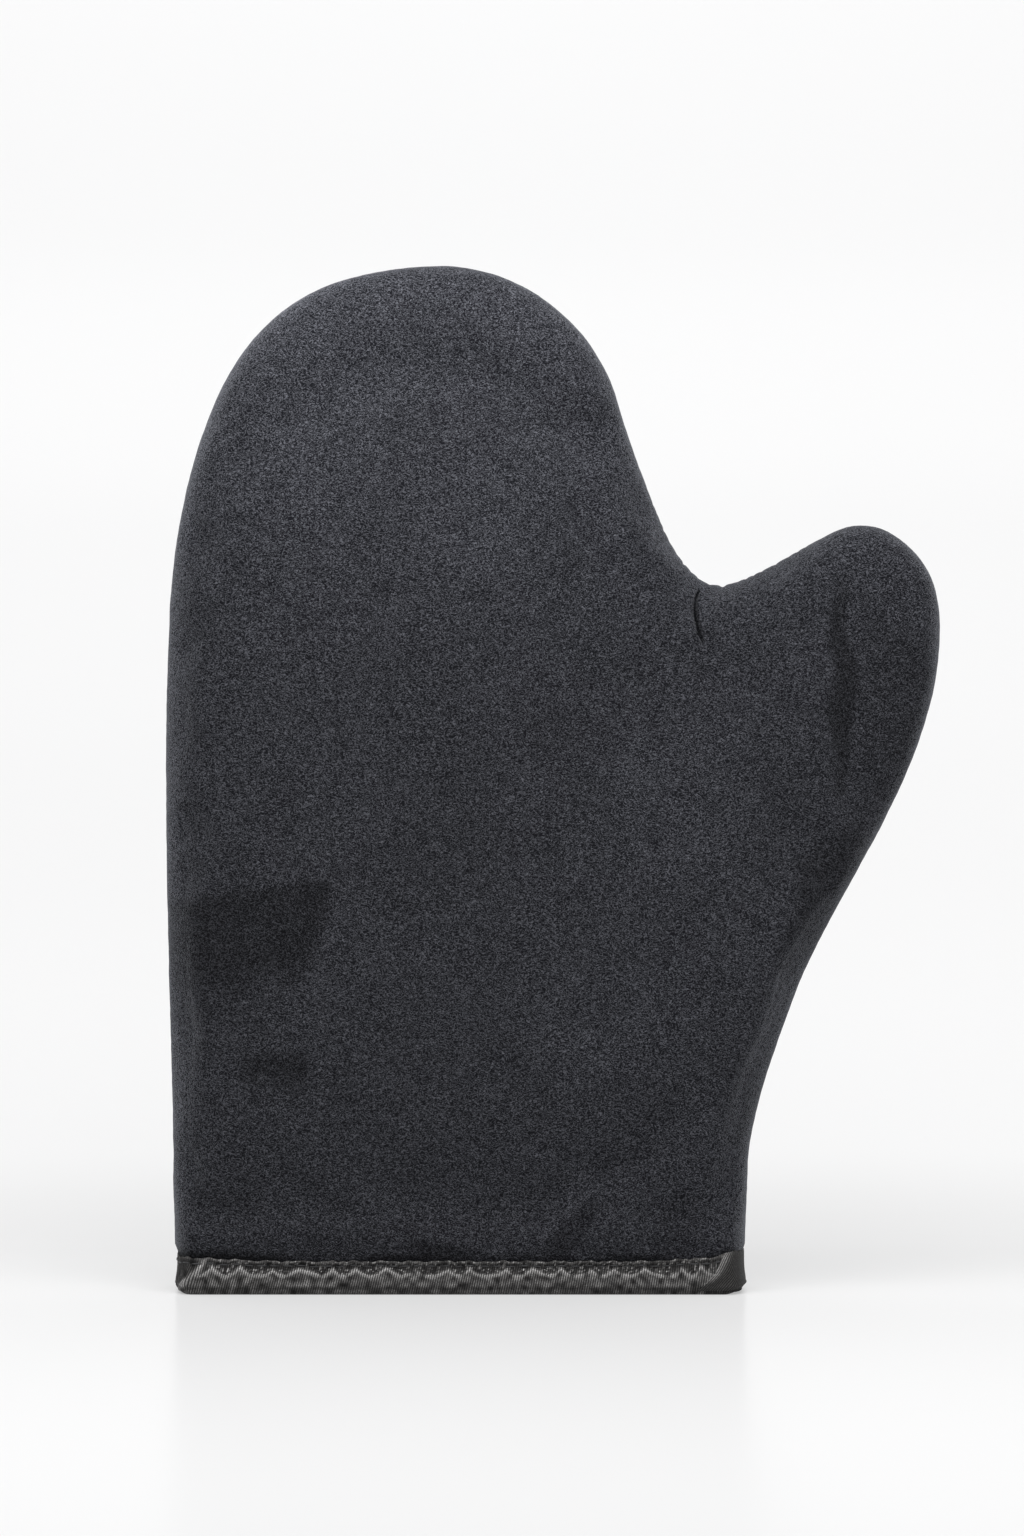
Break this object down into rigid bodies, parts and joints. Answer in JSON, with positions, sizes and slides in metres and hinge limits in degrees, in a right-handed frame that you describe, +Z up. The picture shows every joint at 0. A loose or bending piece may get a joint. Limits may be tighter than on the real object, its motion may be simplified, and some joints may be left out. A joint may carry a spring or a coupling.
{
  "type": "applicator mitt",
  "caption": "Soft velour applicator mitt with a thumb, made of two laminated panels sewn round the edge, open at the cuff and bound there with satin tape.",
  "frame": {"origin": "under the middle of the whole mitt, on the plane that the bound cuff stands on", "axes": "+Z up from the cuff to the fingertips, +X towards the thumb, -Y out of the front panel"},
  "size_m": [0.174, 0.0286, 0.23],
  "materials": {
    "velour": "short charcoal pile, matt with a soft sheen at the edges",
    "foam": "dark grey open-cell polyurethane foam, matt",
    "barrier_film": "thin grey polyurethane film, slightly glossy",
    "lining": "fine black knit, matt",
    "satin_tape": "ribbed satin ribbon, glossy across its ribs",
    "thread": "twisted polyester sewing thread, dark grey"
  },
  "bodies": {
    "hand": {"face_front": "velour", "face_back": "velour", "foam_front": "foam", "foam_back": "foam", "barrier_film_front": "barrier_film", "barrier_film_back": "barrier_film", "lining_front": "lining", "lining_back": "lining", "seam_thread_front": "thread", "seam_thread_back": "thread", "binding_tape": "satin_tape", "binding_lap": "satin_tape", "binding_thread_outer": "thread", "binding_thread_inner": "thread"},
    "thumb": {"thumb_face_front": "velour", "thumb_face_back": "velour", "thumb_foam_front": "foam", "thumb_foam_back": "foam", "thumb_barrier_film_front": "barrier_film", "thumb_barrier_film_back": "barrier_film", "thumb_lining_front": "lining", "thumb_lining_back": "lining", "thumb_seam_thread_front": "thread", "thumb_seam_thread_back": "thread"}
  },
  "joints": [
    {"name": "thumb_fold", "type": "hinge", "parent": "hand", "child": "thumb", "pos_m": [0.0365, 0, 0.1584], "axis": [0.2154, 0, -0.9765], "range_deg": [-50, 50], "stiffness_Nm_per_rad": 0.008}
  ]
}
